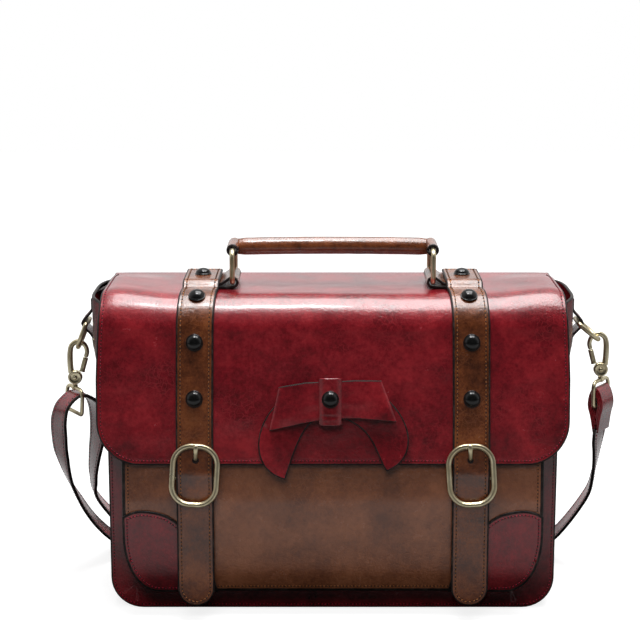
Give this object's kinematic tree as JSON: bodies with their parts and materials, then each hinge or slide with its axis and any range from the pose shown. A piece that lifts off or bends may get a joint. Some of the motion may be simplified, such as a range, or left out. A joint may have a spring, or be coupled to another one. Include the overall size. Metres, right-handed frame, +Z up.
{
  "type": "satchel bag",
  "caption": "Boxy leather satchel with a full front flap, front pocket, buckled belts, bow, carrying handle on rings and an adjustable clip-on shoulder strap.",
  "frame": {"origin": "middle of the bag's flat bottom", "axes": "+X to the wearer's right along the front's width, +Y from the front to the back, +Z up"},
  "size_m": [0.4388, 0.2024, 0.2775],
  "materials": {
    "red_leather": "glossy pull-up, dark painted edges",
    "brown_leather": "semi-gloss, mottled, dark painted edges",
    "lining_fabric": "woven, matte",
    "base_card": "matte",
    "antique_brass": "polished antique",
    "black_gloss": "gloss"
  },
  "bodies": {
    "bag": {"back_panel": "red_leather", "front_panel": "red_leather", "gusset": "red_leather", "base_board": "base_card", "lining": "lining_fabric", "slip_pocket": "lining_fabric", "pocket_panel": "brown_leather", "pocket_gusset": "brown_leather", "flap_hem": "red_leather", "shoulder_strap": "red_leather", "strap_slider": "antique_brass", "corner_patch_left": "red_leather", "snap_socket_left": "antique_brass", "side_tab_left": "red_leather", "corner_patch_right": "red_leather", "snap_socket_right": "antique_brass", "side_tab_right": "red_leather"},
    "flap": {"flap_cover": "red_leather", "bow_tails": "red_leather", "bow_loops": "red_leather", "bow_wrap": "red_leather", "bow_stud": "black_gloss", "belt_left": "brown_leather", "tongue_left": "brown_leather", "buckle_frame_left": "antique_brass", "buckle_prong_left": "antique_brass", "snap_stud_left": "antique_brass", "handle_anchor_left": "brown_leather", "belt_stud_left_1": "black_gloss", "belt_stud_left_2": "black_gloss", "belt_stud_left_3": "black_gloss", "belt_stud_left_4": "black_gloss", "belt_right": "brown_leather", "tongue_right": "brown_leather", "buckle_frame_right": "antique_brass", "buckle_prong_right": "antique_brass", "snap_stud_right": "antique_brass", "handle_anchor_right": "brown_leather", "belt_stud_right_1": "black_gloss", "belt_stud_right_2": "black_gloss", "belt_stud_right_3": "black_gloss", "belt_stud_right_4": "black_gloss"},
    "handle": {"handle_grip": "brown_leather", "handle_loop_left": "brown_leather", "handle_loop_right": "brown_leather"},
    "handle_ring_left": {"handle_ring_left": "antique_brass"},
    "d_ring_left": {"d_ring_left": "antique_brass"},
    "hook_left": {"snap_hook_left": "antique_brass", "hook_rivet_left": "antique_brass"},
    "gate_left": {"hook_gate_left": "antique_brass"},
    "eye_left": {"swivel_eye_left": "antique_brass"},
    "handle_ring_right": {"handle_ring_right": "antique_brass"},
    "d_ring_right": {"d_ring_right": "antique_brass"},
    "hook_right": {"snap_hook_right": "antique_brass", "hook_rivet_right": "antique_brass"},
    "gate_right": {"hook_gate_right": "antique_brass"},
    "eye_right": {"swivel_eye_right": "antique_brass", "strap_end": "red_leather"}
  },
  "joints": [
    {"name": "flap_hinge", "type": "hinge", "parent": "bag", "child": "flap", "pos_m": [0, 0.0515, 0.2384], "axis": [-1, 0, 0], "range_deg": [0, 180]},
    {"name": "handle_ring_left_swing", "type": "hinge", "parent": "flap", "child": "handle_ring_left", "pos_m": [-0.075, 0, 0.2465], "axis": [0, 1, 0], "range_deg": [-45, 45]},
    {"name": "handle_swing", "type": "hinge", "parent": "handle_ring_left", "child": "handle", "pos_m": [-0.075, 0, 0.27], "axis": [0, 1, 0], "range_deg": [-45, 45]},
    {"name": "handle_ring_right_swing", "type": "hinge", "parent": "flap", "child": "handle_ring_right", "pos_m": [0.075, 0, 0.2465], "axis": [0, 1, 0], "range_deg": [-45, 45]},
    {"name": "d_ring_left_swing", "type": "hinge", "parent": "bag", "child": "d_ring_left", "pos_m": [-0.187, 0, 0.2125], "axis": [0, 1, 0], "range_deg": [-5, 60], "deforming": ["shoulder_strap"]},
    {"name": "hook_left_swing", "type": "hinge", "parent": "d_ring_left", "child": "hook_left", "pos_m": [-0.1947, 0, 0.19243], "axis": [0, 1, 0], "range_deg": [-10, 25]},
    {"name": "gate_left_press", "type": "hinge", "parent": "hook_left", "child": "gate_left", "pos_m": [-0.19251, 0, 0.17309], "axis": [0, -1, 0], "range_deg": [0, 25], "stiffness_Nm_per_rad": 0.02},
    {"name": "eye_left_swivel", "type": "hinge", "parent": "hook_left", "child": "eye_left", "pos_m": [-0.19796, 0, 0.16847], "axis": [0.0523, 0, 0.9986], "continuous": true},
    {"name": "d_ring_right_swing", "type": "hinge", "parent": "bag", "child": "d_ring_right", "pos_m": [0.187, 0, 0.2125], "axis": [0, -1, 0], "range_deg": [-10, 30], "deforming": ["shoulder_strap"]},
    {"name": "hook_right_swing", "type": "hinge", "parent": "d_ring_right", "child": "hook_right", "pos_m": [0.20347, 0, 0.19868], "axis": [0, -1, 0], "range_deg": [-4, 25]},
    {"name": "gate_right_press", "type": "hinge", "parent": "hook_right", "child": "gate_right", "pos_m": [0.20094, 0, 0.17938], "axis": [0, 1, 0], "range_deg": [0, 25], "stiffness_Nm_per_rad": 0.02},
    {"name": "eye_right_swivel", "type": "hinge", "parent": "hook_right", "child": "eye_right", "pos_m": [0.20631, 0, 0.17466], "axis": [-0.0349, 0, 0.9994], "continuous": true}
  ],
  "couplings": [
    {"joint": "handle_swing", "follows": "handle_ring_left_swing", "ratio": -1},
    {"joint": "handle_ring_right_swing", "follows": "handle_ring_left_swing", "ratio": 1}
  ]
}
